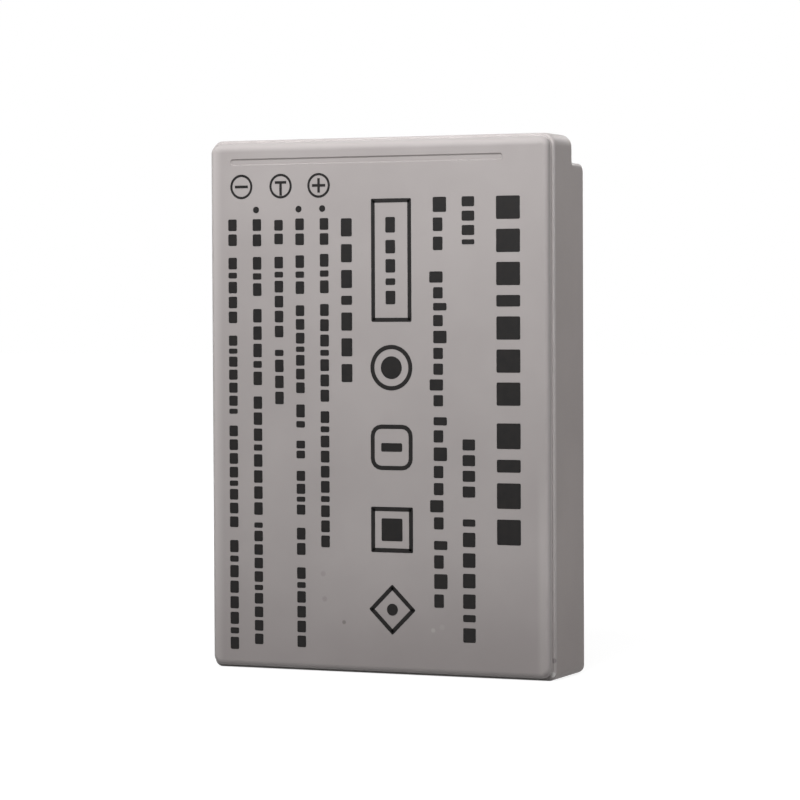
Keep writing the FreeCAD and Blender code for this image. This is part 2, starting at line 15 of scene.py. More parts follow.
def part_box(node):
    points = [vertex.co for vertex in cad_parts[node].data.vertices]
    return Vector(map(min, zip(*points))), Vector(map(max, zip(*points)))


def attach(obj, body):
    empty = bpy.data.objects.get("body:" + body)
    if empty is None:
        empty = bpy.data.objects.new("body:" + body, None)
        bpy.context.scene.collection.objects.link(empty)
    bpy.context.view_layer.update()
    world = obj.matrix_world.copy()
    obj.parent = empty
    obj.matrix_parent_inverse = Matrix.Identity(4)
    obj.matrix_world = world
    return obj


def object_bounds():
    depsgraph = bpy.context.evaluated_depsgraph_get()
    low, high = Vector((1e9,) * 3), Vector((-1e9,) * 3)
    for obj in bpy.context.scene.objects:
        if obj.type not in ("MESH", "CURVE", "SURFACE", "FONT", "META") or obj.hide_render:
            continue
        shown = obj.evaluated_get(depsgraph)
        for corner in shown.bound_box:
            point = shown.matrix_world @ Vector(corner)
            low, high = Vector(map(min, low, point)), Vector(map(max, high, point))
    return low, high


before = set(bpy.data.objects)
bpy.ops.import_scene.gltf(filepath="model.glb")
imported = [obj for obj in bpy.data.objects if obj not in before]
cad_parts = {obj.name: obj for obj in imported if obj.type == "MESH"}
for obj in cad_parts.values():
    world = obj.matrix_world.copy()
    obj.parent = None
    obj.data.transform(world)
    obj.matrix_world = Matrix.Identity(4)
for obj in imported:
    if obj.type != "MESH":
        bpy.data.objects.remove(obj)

MM = 0.001
CAD_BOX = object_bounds()
LOG = logging.getLogger("battery_pack")

Rgb = tuple[int, int, int]
Point = tuple[float, float]
Place = tuple[float, float, float]
Socket = bpy.types.NodeSocket

# Range of a factor, and range in which most of a noise lies
FULL_RANGE: Point = (0.0, 1.0)
NOISE_RANGE: Point = (0.3, 0.7)
# White for a socket, highest level of a colour channel as it is written, and a right angle in degrees
WHITE = (1.0, 1.0, 1.0, 1.0)
TOP_LEVEL = 255
QUARTER_TURN = 90


class Slot(Enum):
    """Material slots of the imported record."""

    INK = "print_ink"


class Axis(Enum):
    """Direction in the pack's frame: width, thickness or height."""

    X = 0
    Y = 1
    Z = 2


class Mixing(Enum):
    """How a colour goes over another one."""

    COVER = "MIX"
    DARKEN = "MULTIPLY"


class Block(Enum):
    """Letter-size block of print: its width in units of the line, and its foot and head on the line."""

    CAPITAL = (1.0, 0.0, 1.0)
    NARROW = (0.5, 0.0, 1.0)
    SMALL = (0.9, 0.0, 0.72)
    TALL = (0.6, 0.0, 1.0)
    HANGING = (0.9, -0.28, 0.72)


class Arm(Enum):
    """Way in which a stroke leaves the middle of a mark."""

    LEFT = (-1, 0)
    RIGHT = (1, 0)
    UP = (0, 1)
    DOWN = (0, -1)


def linear(colour: Rgb) -> tuple[float, float, float, float]:
    """Turns a colour as it is seen, 0 to 255, into linear RGBA.

    Args:
        colour: Red, green and blue.

    Returns:
        The colour for a shader's socket.
    """
    seen = Color([channel / TOP_LEVEL for channel in colour])
    return (*seen.from_srgb_to_scene_linear(), 1.0)


@dataclass(frozen=True)
class Zone:
    """Layer of space on both sides of a plane.

    Attributes:
        axis: Direction across the plane.
        middle: Place of the plane along it, in millimetres.
        reach: Distances from the plane up to which the zone is full, and at which it has faded out.
    """

    axis: Axis
    middle: float
    reach: Point


class Graph:
    """Node graph of one material: a Principled shader fed by object coordinates in millimetres."""

    # Places of the Mix node's colour sockets, which share their names with its other sockets
    MIX_COLOURS = (6, 7)
    MIX_RESULT = 2

    def __init__(self, name: str) -> None:
        """Starts the material.

        Args:
            name: Name of the material.
        """
        self.material = bpy.data.materials.new(name)
        self.material.use_nodes = True
        self.shader = self.material.node_tree.nodes["Principled BSDF"]
        coordinates = self.add("ShaderNodeTexCoord").outputs["Object"]
        in_millimetres = self.add("ShaderNodeVectorMath", operation="SCALE")
        in_millimetres.inputs["Scale"].default_value = 1 / MM
        self.link(coordinates, in_millimetres.inputs[0])
        self.position = in_millimetres.outputs["Vector"]

    def add(self, kind: str, **settings: str) -> bpy.types.Node:
        """Adds a node.

        Args:
            kind: Blender's name of the node type.
            **settings: Properties of the node.

        Returns:
            The new node.
        """
        node = self.material.node_tree.nodes.new(kind)
        for setting, value in settings.items():
            setattr(node, setting, value)
        return node

    def link(self, source: Socket, target: Socket) -> None:
        """Links two sockets."""
        self.material.node_tree.links.new(source, target)

    def fix(self, **values: float) -> None:
        """Sets shader sockets that are the same all over the surface.

        Args:
            **values: Socket names in lower case with underscores, and their values.
        """
        for name, value in values.items():
            self.shader.inputs[name.replace("_", " ").title().replace("Ior", "IOR")].default_value = value

    def feed(self, name: str, source: Socket) -> None:
        """Links a socket to one of the shader's inputs."""
        self.link(source, self.shader.inputs[name])

    def noise(self, per_mm: float, detail: float = 2.0, stretch: Place = (1, 1, 1)) -> Socket:
        """Adds cloudy noise.

        Args:
            per_mm: How many features there are on a millimetre.
            detail: How many finer layers are added.
            stretch: Scale of the noise along X, Y and Z.

        Returns:
            A factor of 0 to 1.
        """
        mapping = self.add("ShaderNodeMapping")
        mapping.inputs["Scale"].default_value = stretch
        self.link(self.position, mapping.inputs["Vector"])
        texture = self.add("ShaderNodeTexNoise")
        texture.inputs["Scale"].default_value = per_mm
        texture.inputs["Detail"].default_value = detail
        self.link(mapping.outputs["Vector"], texture.inputs["Vector"])
        return texture.outputs["Fac"]

    def remap(self, value: Socket, span: Point, result: Point, soft: bool = False) -> Socket:
        """Maps a value from one range to another, clamped at both ends.

        Args:
            value: The value.
            span: Ends of its range.
            result: What the two ends become.
            soft: Whether the change eases in and out.

        Returns:
            The mapped value.
        """
        node = self.add("ShaderNodeMapRange", interpolation_type="SMOOTHSTEP" if soft else "LINEAR")
        node.inputs["From Min"].default_value, node.inputs["From Max"].default_value = span
        node.inputs["To Min"].default_value, node.inputs["To Max"].default_value = result
        self.link(value, node.inputs["Value"])
        return node.outputs["Result"]

    def blend(
        self, factor: Socket, first: Socket | Rgb, second: Socket | Rgb, mixing: Mixing = Mixing.COVER
    ) -> Socket:
        """Mixes two colours.

        Args:
            factor: Share of the second colour.
            first: Colour where the factor is 0.
            second: Colour that goes over it where the factor is 1.
            mixing: How it goes over it.

        Returns:
            The mixed colour.
        """
        node = self.add("ShaderNodeMix", data_type="RGBA", blend_type=mixing.value)
        self.link(factor, node.inputs["Factor"])
        for index, colour in zip(self.MIX_COLOURS, (first, second)):
            if isinstance(colour, tuple):
                node.inputs[index].default_value = linear(colour)
            else:
                self.link(colour, node.inputs[index])
        return node.outputs[self.MIX_RESULT]

    def near(self, centre: Place, radius: float) -> Socket:
        """Marks the neighbourhood of a point.

        Args:
            centre: The point, in millimetres.
            radius: Distance at which the mark has faded out.

        Returns:
            1 within half the radius, 0 outside the radius.
        """
        distance = self.add("ShaderNodeVectorMath", operation="DISTANCE")
        distance.inputs[1].default_value = centre
        self.link(self.position, distance.inputs[0])
        return self.remap(distance.outputs["Value"], (radius / 2, radius), (1, 0), soft=True)

    def within(self, zone: Zone, inside: float = 1.0, outside: float = 0.0) -> Socket:
        """Marks a zone.

        Args:
            zone: The zone.
            inside: Value where the zone is full.
            outside: Value where it has faded out.

        Returns:
            The mark.
        """
        apart = self.add("ShaderNodeSeparateXYZ")
        self.link(self.position, apart.inputs["Vector"])
        offset = self.add("ShaderNodeMath", operation="SUBTRACT")
        offset.inputs[1].default_value = zone.middle
        self.link(apart.outputs[zone.axis.value], offset.inputs[0])
        size = self.add("ShaderNodeMath", operation="ABSOLUTE")
        self.link(offset.outputs["Value"], size.inputs[0])
        return self.remap(size.outputs["Value"], zone.reach, (inside, outside), soft=True)

    def product(self, first: Socket, second: Socket) -> Socket:
        """Multiplies two values.

        Args:
            first: One value.
            second: The other value.

        Returns:
            Their product.
        """
        node = self.add("ShaderNodeMath", operation="MULTIPLY")
        self.link(first, node.inputs[0])
        self.link(second, node.inputs[1])
        return node.outputs["Value"]

    def bump(self, height: Socket, depth: float) -> None:
        """Roughens the surface.

        Args:
            height: Height as a factor of 0 to 1.
            depth: Height difference in millimetres that the factor stands for.
        """
        node = self.add("ShaderNodeBump")
        node.inputs["Distance"].default_value = depth * MM
        self.link(height, node.inputs["Height"])
        self.feed("Normal", node.outputs["Normal"])


class Finish(Protocol):
    """What every finish can do."""

    def material(self) -> bpy.types.Material:
        """Makes the finish's material."""


@dataclass(frozen=True)
class Speck:
    """Small mark on a surface: its place and radius in millimetres, its colour and its strength."""

    place: Place
    radius: float
    colour: Rgb
    strength: float


@dataclass(frozen=True)
class Tone:
    """Change of colour where zones meet.

    Attributes:
        zones: The zones.
        colour: The colour.
        share: Its strength where the zones are full.
        mixing: How it goes over the colour below it.
    """

    zones: tuple[Zone, ...]
    colour: Rgb
    share: float = 1.0
    mixing: Mixing = Mixing.COVER


@dataclass(frozen=True)
class MouldedPlastic:
    """Satin moulded plastic: fine eroded grain, faint flow clouds, tones of painted light and shade, and
    specks.
    """

    colour: Rgb = (168, 162, 161)
    cloud: Rgb = (162, 156, 155)
    clouds_per_mm: float = 0.12
    cloud_span: Point = (0.35, 0.65)
    roughness: Point = (0.44, 0.54)
    grain_per_mm: float = 7.0
    grain_depth: float = 0.004
    gloss: float = 0.3
    tones: tuple[Tone, ...] = ()
    specks: tuple[Speck, ...] = ()

    def material(self) -> bpy.types.Material:
        """Makes the plastic's material.

        Returns:
            The material.
        """
        graph = Graph("moulded_plastic")
        clouds = graph.noise(self.clouds_per_mm, detail=3)
        shade = graph.blend(graph.remap(clouds, self.cloud_span, FULL_RANGE), self.colour, self.cloud)
        for tone in self.tones:
            mask = graph.within(tone.zones[0], inside=tone.share)
            for zone in tone.zones[1:]:
                mask = graph.product(mask, graph.within(zone))
            shade = graph.blend(mask, shade, tone.colour, tone.mixing)
        for speck in self.specks:
            mask = graph.remap(graph.near(speck.place, speck.radius), FULL_RANGE, (0, speck.strength))
            shade = graph.blend(mask, shade, speck.colour)
        graph.feed("Base Color", shade)
        grain = graph.noise(self.grain_per_mm, detail=2)
        graph.feed("Roughness", graph.remap(grain, NOISE_RANGE, self.roughness))
        graph.bump(grain, self.grain_depth)
        graph.fix(specular_ior_level=self.gloss)
        return graph.material


@dataclass(frozen=True)
class ScreenPrintInk:
    """Thin dark ink, laid on through a screen: a little uneven, with pinholes over the grain."""

    colour: Rgb = (14, 12, 12)
    thin: Rgb = (24, 21, 20)
    unevenness_per_mm: float = 1.5
    thin_span: Point = (0.4, 0.75)
    pinholes_per_mm: float = 12.0
    pinhole_span: Point = (0.72, 0.8)
    pinhole_share: float = 0.6
    roughness: Point = (0.42, 0.6)
    film_depth: float = 0.003
    gloss: float = 0.2

    def material(self) -> bpy.types.Material:
        """Makes the ink's material.

        Returns:
            The material.
        """
        graph = Graph("screen_print_ink")
        uneven = graph.noise(self.unevenness_per_mm, detail=3)
        holes = graph.noise(self.pinholes_per_mm, detail=1)
        film = graph.blend(graph.remap(uneven, self.thin_span, FULL_RANGE), self.colour, self.thin)
        missed = graph.remap(holes, self.pinhole_span, (0, self.pinhole_share))
        graph.feed("Base Color", graph.blend(missed, film, self.thin))
        graph.feed("Roughness", graph.remap(uneven, NOISE_RANGE, self.roughness))
        graph.bump(holes, self.film_depth)
        graph.fix(specular_ior_level=self.gloss)
        return graph.material


@dataclass(frozen=True)
class DrawnMetal:
    """Drawn, rolled or plated metal with fine lines along the way that it was worked."""

    name: str
    colour: Rgb
    dull: Rgb
    roughness: Point
    stretch: Place
    lines_per_mm: float = 6.0
    line_depth: float = 0.002
    stains_per_mm: float = 0.5
    stain_span: Point = (0.4, 0.7)

    def material(self) -> bpy.types.Material:
        """Makes the metal's material.

        Returns:
            The material.
        """
        graph = Graph(self.name)
        lines = graph.noise(self.lines_per_mm, detail=3, stretch=self.stretch)
        stains = graph.remap(graph.noise(self.stains_per_mm, detail=2), self.stain_span, FULL_RANGE)
        graph.feed("Base Color", graph.blend(stains, self.colour, self.dull))
        graph.feed("Roughness", graph.remap(lines, NOISE_RANGE, self.roughness))
        graph.bump(lines, self.line_depth)
        graph.fix(metallic=1.0)
        return graph.material


@dataclass(frozen=True)
class FibreSheet:
    """Paper or foam: a matt sheet with fibres and cloudy shade."""

    name: str
    colour: Rgb
    shade: Rgb
    stretch: Place = (1.0, 6.0, 6.0)
    fibres_per_mm: float = 2.0
    fibre_depth: float = 0.02
    roughness: Point = (0.7, 0.9)

    def material(self) -> bpy.types.Material:
        """Makes the sheet's material.

        Returns:
            The material.
        """
        graph = Graph(self.name)
        fibres = graph.noise(self.fibres_per_mm, detail=4, stretch=self.stretch)
        shaded = graph.remap(fibres, NOISE_RANGE, FULL_RANGE)
        graph.feed("Base Color", graph.blend(shaded, self.colour, self.shade))
        graph.feed("Roughness", graph.remap(fibres, NOISE_RANGE, self.roughness))
        graph.bump(fibres, self.fibre_depth)
        return graph.material


@dataclass(frozen=True)
class Resin:
    """Cast or pressed resin with filler: dark speckle and a fine grain."""

    name: str
    colour: Rgb
    speckle: Rgb
    speckle_span: Point = (0.45, 0.7)
    grain_per_mm: float = 10.0
    grain_depth: float = 0.005
    roughness: Point = (0.5, 0.7)

    def cast(self, graph: Graph) -> Socket:
        """Gives a material the resin's grain.

        Args:
            graph: The material's graph.

        Returns:
            The resin's colour.
        """
        grain = graph.noise(self.grain_per_mm, detail=2)
        graph.feed("Roughness", graph.remap(grain, NOISE_RANGE, self.roughness))
        graph.bump(grain, self.grain_depth)
        return graph.blend(graph.remap(grain, self.speckle_span, FULL_RANGE), self.colour, self.speckle)

    def material(self) -> bpy.types.Material:
        """Makes the resin's material.

        Returns:
            The material.
        """
        graph = Graph(self.name)
        graph.feed("Base Color", self.cast(graph))
        return graph.material


@dataclass(frozen=True)
class TippedResin:
    """Small electronic part: resin or ceramic in the middle, tinned metal beyond it on both sides."""

    body: Resin
    axis: Axis
    middle: float
    reach: float
    fade: float = 0.02
    tin: Rgb = (188, 188, 184)

    def material(self) -> bpy.types.Material:
        """Makes the part's material.

        Returns:
            The material.
        """
        graph = Graph(self.body.name)
        body_zone = Zone(self.axis, self.middle, (self.reach, self.reach + self.fade))
        tips = graph.within(body_zone, inside=0, outside=1)
        graph.feed("Base Color", graph.blend(tips, self.body.cast(graph), self.tin))
        graph.feed("Metallic", tips)
        return graph.material


@cache
def material_of(finish: Finish) -> bpy.types.Material:
    """Makes a finish's material once, for every piece that has it."""
    return finish.material()


def dress(node: str, finish: Finish) -> None:
    """Gives a node of the frame its finish.

    Args:
        node: Name of the node.
        finish: The finish.
    """
    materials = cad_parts[node].data.materials
    made = material_of(finish)
    for index in range(len(materials)):
        materials[index] = made
    LOG.info("%s has the finish %s", node, made.name)


def add_piece(name: str, mesh: bmesh.types.BMesh) -> bpy.types.Object:
    """Turns a finished mesh into a piece that rides on the pack.

    Args:
        name: Name of the piece.
        mesh: Its mesh in metres, which is used up.

    Returns:
        The piece.
    """
    data = bpy.data.meshes.new(name)
    mesh.to_mesh(data)
    mesh.free()
    piece = bpy.data.objects.new(name, data)
    bpy.context.scene.collection.objects.link(piece)
    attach(piece, "root")
    LOG.info("%s has %d faces", name, len(data.polygons))
    return piece


# Label face in millimetres, and the cover alone, from that face back to the seam
FACE_Y = -3.95
COVER = Zone(Axis.Y, FACE_Y, (0.8, 1.0))


@dataclass(frozen=True)
class Housing:
    """The two moulded shells, their wear, and the light and shade painted on them. Places are in
    millimetres in the pack's frame.

    Attributes:
        nodes: The shells.
        painted_left_highlight: Painted highlight on the left edge of the cover.
        painted_right_highlight: Painted highlight on the right edge of the cover.
        painted_right_foot_light: Painted light low on the right edge, which lifts the painted foot shade
            there.
        painted_lower_light: Painted light on the lower edge of the cover, standing in for light from the
            floor.
        painted_upper_highlight: Painted highlight on the upper edge of the cover.
        seam: Painted light in the valley between the cover and the case's rim, which lifts the shade that
            falls there.
        rim: Painted highlight along the case's rim.
        case: Warmer shade of the case.
        foot: Painted shade, darker towards the bottom of both shells.
        specks: Dirt, scuffs and a nick.
    """

    nodes: tuple[str, ...] = ("front_cover", "rear_case")
    # Painted highlight on the cover's left edge
    painted_left_highlight: Tone = Tone((Zone(Axis.X, -15.7, (0.5, 1.6)), COVER), colour=(187, 181, 180))
    # Painted highlight on the cover's right edge
    painted_right_highlight: Tone = Tone((Zone(Axis.X, 15.9, (0.4, 1.0)), COVER), colour=(187, 181, 180))
    # Painted light low on the cover's right edge, lifting the painted foot shade
    painted_right_foot_light: Tone = Tone(
        (Zone(Axis.X, 15.4, (0.6, 1.2)), COVER, Zone(Axis.Z, 0.0, (10.0, 20.0))),
        colour=(196, 190, 189),
        share=0.35,
    )
    # Painted light on the cover's lower edge, standing in for light from the floor
    painted_lower_light: Tone = Tone((Zone(Axis.Z, 0.3, (0.1, 0.38)), COVER), colour=(212, 206, 205), share=0.6)
    # Painted highlight on the cover's upper edge
    painted_upper_highlight: Tone = Tone((Zone(Axis.Z, 44.7, (0.3, 0.8)), COVER), colour=(182, 176, 175))
    # Painted light in the valley at the seam, lifting the shade that falls there
    seam: Tone = Tone((Zone(Axis.Y, -3.2, (0.1, 0.2)),), colour=(214, 208, 207))
    # Painted highlight along the case's rim
    rim: Tone = Tone((Zone(Axis.Y, -2.95, (0.1, 0.16)),), colour=(190, 184, 183), share=0.8)
    case: Tone = Tone((Zone(Axis.Y, 4.0, (6.6, 7.0)),), colour=(255, 250, 248), mixing=Mixing.DARKEN)
    # Painted shade: both shells darker towards the bottom
    foot: Tone = Tone((Zone(Axis.Z, 0.0, (0.0, 11.0)),), colour=(238, 237, 237), mixing=Mixing.DARKEN)
    specks: tuple[Speck, ...] = (
        Speck((-3.02, FACE_Y, 4.3), radius=0.22, colour=(86, 80, 78), strength=0.5),
        Speck((-4.8, FACE_Y, 6.2), radius=0.3, colour=(120, 114, 112), strength=0.3),
        Speck((-4.93, FACE_Y, 8.32), radius=0.3, colour=(120, 114, 112), strength=0.25),
        Speck((5.09, FACE_Y, 3.9), radius=0.24, colour=(196, 190, 189), strength=0.3),
        Speck((5.9, FACE_Y, 4.18), radius=0.3, colour=(196, 190, 189), strength=0.12),
        Speck((15.34, -3.1, 0.55), radius=0.3, colour=(226, 224, 222), strength=0.9),
        Speck((15.42, -3.0, 1.7), radius=0.28, colour=(70, 65, 63), strength=0.4),
    )

    def dress(self) -> None:
        """Gives both shells the same plastic, with each tone going over those before it."""
        edges = (self.painted_left_highlight, self.painted_right_highlight, self.painted_right_foot_light, self.painted_lower_light, self.painted_upper_highlight)
        tones = (*edges, self.seam, self.rim, self.case, self.foot)
        plastic = MouldedPlastic(tones=tones, specks=self.specks)
        for node in self.nodes:
            dress(node, plastic)


@dataclass(frozen=True)
class Terminals:
    """The three plated contacts behind their windows."""

    nodes: tuple[str, ...] = ("contact_negative", "contact_temperature", "contact_positive")
    plating: DrawnMetal = DrawnMetal(
        name="wiped_gold_plating",
        colour=(226, 190, 120),
        dull=(196, 158, 92),
        roughness=(0.16, 0.34),
        stretch=(1.0, 0.08, 1.0),
    )

    def dress(self) -> None:
        """Plates the contacts, with wipe marks along the way that the device slides over them."""
        for node in self.nodes:
            dress(node, self.plating)


@dataclass(frozen=True)
class Cell:
    """The sealed cell, what is on its lid and the pads that hold it."""

    can: DrawnMetal = DrawnMetal(
        name="drawn_aluminium",
        colour=(206, 207, 208),
        dull=(186, 187, 189),
        roughness=(0.28, 0.45),
        stretch=(1.0, 1.0, 0.04),
    )
    rivet: DrawnMetal = DrawnMetal(
        name="nickel_plated_rivet",
        colour=(200, 196, 186),
        dull=(178, 173, 162),
        roughness=(0.2, 0.4),
        stretch=(1.0, 1.0, 1.0),
    )
    gasket: Resin = Resin("gasket_plastic", colour=(46, 48, 52), speckle=(58, 60, 64))
    paper: FibreSheet = FibreSheet("insulating_paper", colour=(116, 140, 128), shade=(104, 127, 115))
    pad: FibreSheet = FibreSheet("adhesive_pad_foam", colour=(228, 226, 220), shade=(208, 205, 198))

    def dress(self) -> None:
        """Gives the cell's pieces their finishes."""
        dress("cell_can", self.can)
        dress("negative_rivet", self.rivet)
        dress("rivet_gasket", self.gasket)
        dress("lid_paper", self.paper)
        dress("front_adhesive_pad", self.pad)
        dress("rear_adhesive_pad", self.pad)


@dataclass(frozen=True)
class ProtectionCircuit:
    """The board under the terminal end, what is soldered to it, and the strips that feed it.

    Attributes are finishes, and in millimetres how far each part's resin or ceramic reaches from its
    middle before its tinned ends begin.
    """

    strip: DrawnMetal = DrawnMetal(
        name="rolled_nickel",
        colour=(198, 193, 182),
        dull=(176, 170, 158),
        roughness=(0.25, 0.45),
        stretch=(0.06, 1.0, 1.0),
    )
    laminate: Resin = Resin(
        "green_solder_mask", colour=(26, 92, 58), speckle=(22, 80, 50), roughness=(0.3, 0.42)
    )
    fuse: Resin = Resin("fuse_polymer", colour=(64, 66, 70), speckle=(52, 54, 58))
    package: Resin = Resin("package_epoxy", colour=(34, 34, 36), speckle=(48, 48, 50))
    resistor: Resin = Resin("resistor_ceramic", colour=(30, 30, 32), speckle=(42, 42, 44))
    capacitor: Resin = Resin("capacitor_ceramic", colour=(158, 128, 96), speckle=(146, 117, 86))
    thermistor: Resin = Resin("thermistor_ceramic", colour=(70, 66, 60), speckle=(58, 55, 50))
    mosfet_body_reach: float = 2.2
    controller_body_reach: float = 0.8
    chip_body_reach: float = 0.5

    def dress(self) -> None:
        """Gives the circuit's pieces their finishes."""
        for node in ("fuse_inner_lead", "fuse_outer_lead", "positive_strip"):
            dress(node, self.strip)
        dress("protection_board", self.laminate)
        dress("resettable_fuse", self.fuse)
        self._dress_tipped("mosfet_pair", self.package, Axis.X, self.mosfet_body_reach)
        self._dress_tipped("protection_controller", self.package, Axis.Y, self.controller_body_reach)
        self._dress_tipped("chip_resistors", self.resistor, Axis.X, self.chip_body_reach)
        self._dress_tipped("chip_capacitor", self.capacitor, Axis.X, self.chip_body_reach)
        self._dress_tipped("thermistor", self.thermistor, Axis.X, self.chip_body_reach)

    def _dress_tipped(self, node: str, body: Resin, axis: Axis, reach: float) -> None:
        """Gives a part with tinned ends its finish, centred on the part.

        Args:
            node: Name of the part's node.
            body: Its resin or ceramic.
            axis: Way from its middle to its tinned ends.
            reach: Distance from its middle to the tin.
        """
        low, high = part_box(node)
        middle = (low[axis.value] + high[axis.value]) / 2 / MM
        dress(node, TippedResin(body, axis, middle, reach))


class InkDrawing:
    """Flat shapes drawn in millimetres over the label face, then raised into one thin layer of ink.

    A point of the drawing is (x, z) in the pack's frame.
    """

    CORNER_STEPS = 4
    CIRCLE_STEPS = 64

    def __init__(self) -> None:
        """Starts an empty drawing."""
        self.mesh = bmesh.new()

    def bar(self, low: Point, high: Point, corner: float, turn: float = 0.0) -> bmesh.types.BMFace:
        """Draws a filled rectangle with rounded corners.

        Args:
            low: Corner with the lowest coordinates, before the turn.
            high: Corner with the highest coordinates, before the turn.
            corner: Radius of the corners.
            turn: Angle in degrees by which it is turned about its middle.

        Returns:
            The rectangle's face.
        """
        middle = Vector(((low[0] + high[0]) / 2, (low[1] + high[1]) / 2, 0))
        size = Matrix.Diagonal((high[0] - low[0], high[1] - low[1], 1, 1))
        place = Matrix.Translation(middle) @ Matrix.Rotation(math.radians(turn), 4, "Z") @ size
        # A grid of size 0.5 is a square of side 1, which the matrix brings to its size
        made = bmesh.ops.create_grid(self.mesh, x_segments=1, y_segments=1, size=0.5, matrix=place)
        rounded = bmesh.ops.bevel(
            self.mesh,
            geom=made["verts"],
            offset=corner,
            offset_type="OFFSET",
            segments=self.CORNER_STEPS,
            profile=0.5,
            affect="VERTICES",
            material=-1,
        )
        return max(rounded["verts"][0].link_faces, key=lambda face: face.calc_area())

    def frame(self, low: Point, high: Point, corner: float, stroke: float, turn: float = 0.0) -> None:
        """Draws the outline of a rectangle with rounded corners.

        Args:
            low: Outer corner with the lowest coordinates, before the turn.
            high: Outer corner with the highest coordinates, before the turn.
            corner: Radius of the outer corners.
            stroke: Width of the line.
            turn: Angle in degrees by which it is turned about its middle.
        """
        face = self.bar(low, high, corner, turn)
        bmesh.ops.inset_region(
            self.mesh, faces=[face], thickness=stroke, use_boundary=True, use_even_offset=True
        )
        bmesh.ops.delete(self.mesh, geom=[face], context="FACES")

    def disc(self, middle: Point, radius: float) -> None:
        """Draws a filled circle.

        Args:
            middle: Its middle.
            radius: Its radius.
        """
        place = Matrix.Translation((*middle, 0))
        bmesh.ops.create_circle(
            self.mesh, cap_ends=True, segments=self.CIRCLE_STEPS, radius=radius, matrix=place
        )

    def ring(self, middle: Point, radius: float, stroke: float) -> None:
        """Draws a circle's line.

        Args:
            middle: Its middle.
            radius: Its outer radius.
            stroke: Width of the line.
        """
        place = Matrix.Translation((*middle, 0))
        edges = set()
        for size in (radius, radius - stroke):
            made = bmesh.ops.create_circle(
                self.mesh, segments=self.CIRCLE_STEPS, radius=size, matrix=place
            )
            edges |= {edge for vertex in made["verts"] for edge in vertex.link_edges}
        bmesh.ops.bridge_loops(self.mesh, edges=list(edges))

    def strokes(self, middle: Point, stroke: float, arms: dict[Arm, float]) -> None:
        """Draws straight strokes that leave one point.

        Args:
            middle: The point.
            stroke: Width of the strokes.
            arms: How far each stroke reaches from the point.
        """
        place = Matrix.Translation((*middle, 0))
        made = bmesh.ops.create_grid(self.mesh, x_segments=1, y_segments=1, size=stroke / 2, matrix=place)
        sides = {edge for vertex in made["verts"] for edge in vertex.link_edges}
        for arm, reach in arms.items():
            way = Vector((*arm.value, 0))
            side = max(sides, key=lambda edge: sum((v.co for v in edge.verts), Vector()).dot(way))
            ends = bmesh.ops.extrude_edge_only(self.mesh, edges=[side])["geom"]
            vertices = [item for item in ends if isinstance(item, bmesh.types.BMVert)]
            bmesh.ops.translate(self.mesh, verts=vertices, vec=way * (reach - stroke / 2))

    def raised(self, face_y: float, sunk: float, proud: float) -> bmesh.types.BMesh:
        """Raises the drawing into a layer that stands upright on the label face.

        Args:
            face_y: Place of the label face in metres.
            sunk: How deep the layer reaches into the face, in millimetres.
            proud: How far it stands out of the face, in millimetres.

        Returns:
            The layer's mesh in metres.
        """
        raised = bmesh.ops.extrude_face_region(self.mesh, geom=list(self.mesh.faces))["geom"]
        top = [item for item in raised if isinstance(item, bmesh.types.BMVert)]
        bmesh.ops.translate(self.mesh, verts=top, vec=(0, 0, sunk + proud))
        bmesh.ops.recalc_face_normals(self.mesh, faces=list(self.mesh.faces))
        upright = Matrix.Rotation(math.radians(QUARTER_TURN), 4, "X") @ Matrix.Translation((0, 0, -sunk))
        place = Matrix.Translation((0, face_y, 0)) @ Matrix.Scale(MM, 4) @ upright
        bmesh.ops.transform(self.mesh, matrix=place, verts=list(self.mesh.verts))
        return self.mesh


@dataclass(frozen=True)
class PrintLine:
    """One line of print, shown as letter-size blocks. It runs down the face, with its head towards +X.

    Attributes:
        base_x: Place of the line's foot across the face, in millimetres.
        height: Height of its capitals.
        words: Start, end and number of blocks of each word.
        pattern: Order in which kinds of blocks follow each other.
        gap: Space between two blocks, in units of a word.
    """

    base_x: float
    height: float
    words: tuple[tuple[float, float, int], ...]
    pattern: tuple[Block, ...] = (Block.CAPITAL, Block.CAPITAL, Block.CAPITAL, Block.NARROW, Block.CAPITAL)
    gap: float = 0.28

    def draw(self, drawing: InkDrawing, corner: float) -> None:
        """Draws the line, with the unit of each word chosen so that its blocks fill its span.

        Args:
            drawing: The drawing that it goes on.
            corner: Radius of the blocks' corners.
        """
        kinds = cycle(self.pattern)
        for start, end, count in self.words:
            blocks = [next(kinds).value for _ in range(count)]
            unit = (start - end) / (sum(width for width, _, _ in blocks) + self.gap * (count - 1))
            z = start
            for width, foot, head in blocks:
                low = (self.base_x + foot * self.height, z - width * unit)
                drawing.bar(low, (self.base_x + head * self.height, z), corner)
                z -= (width + self.gap) * unit


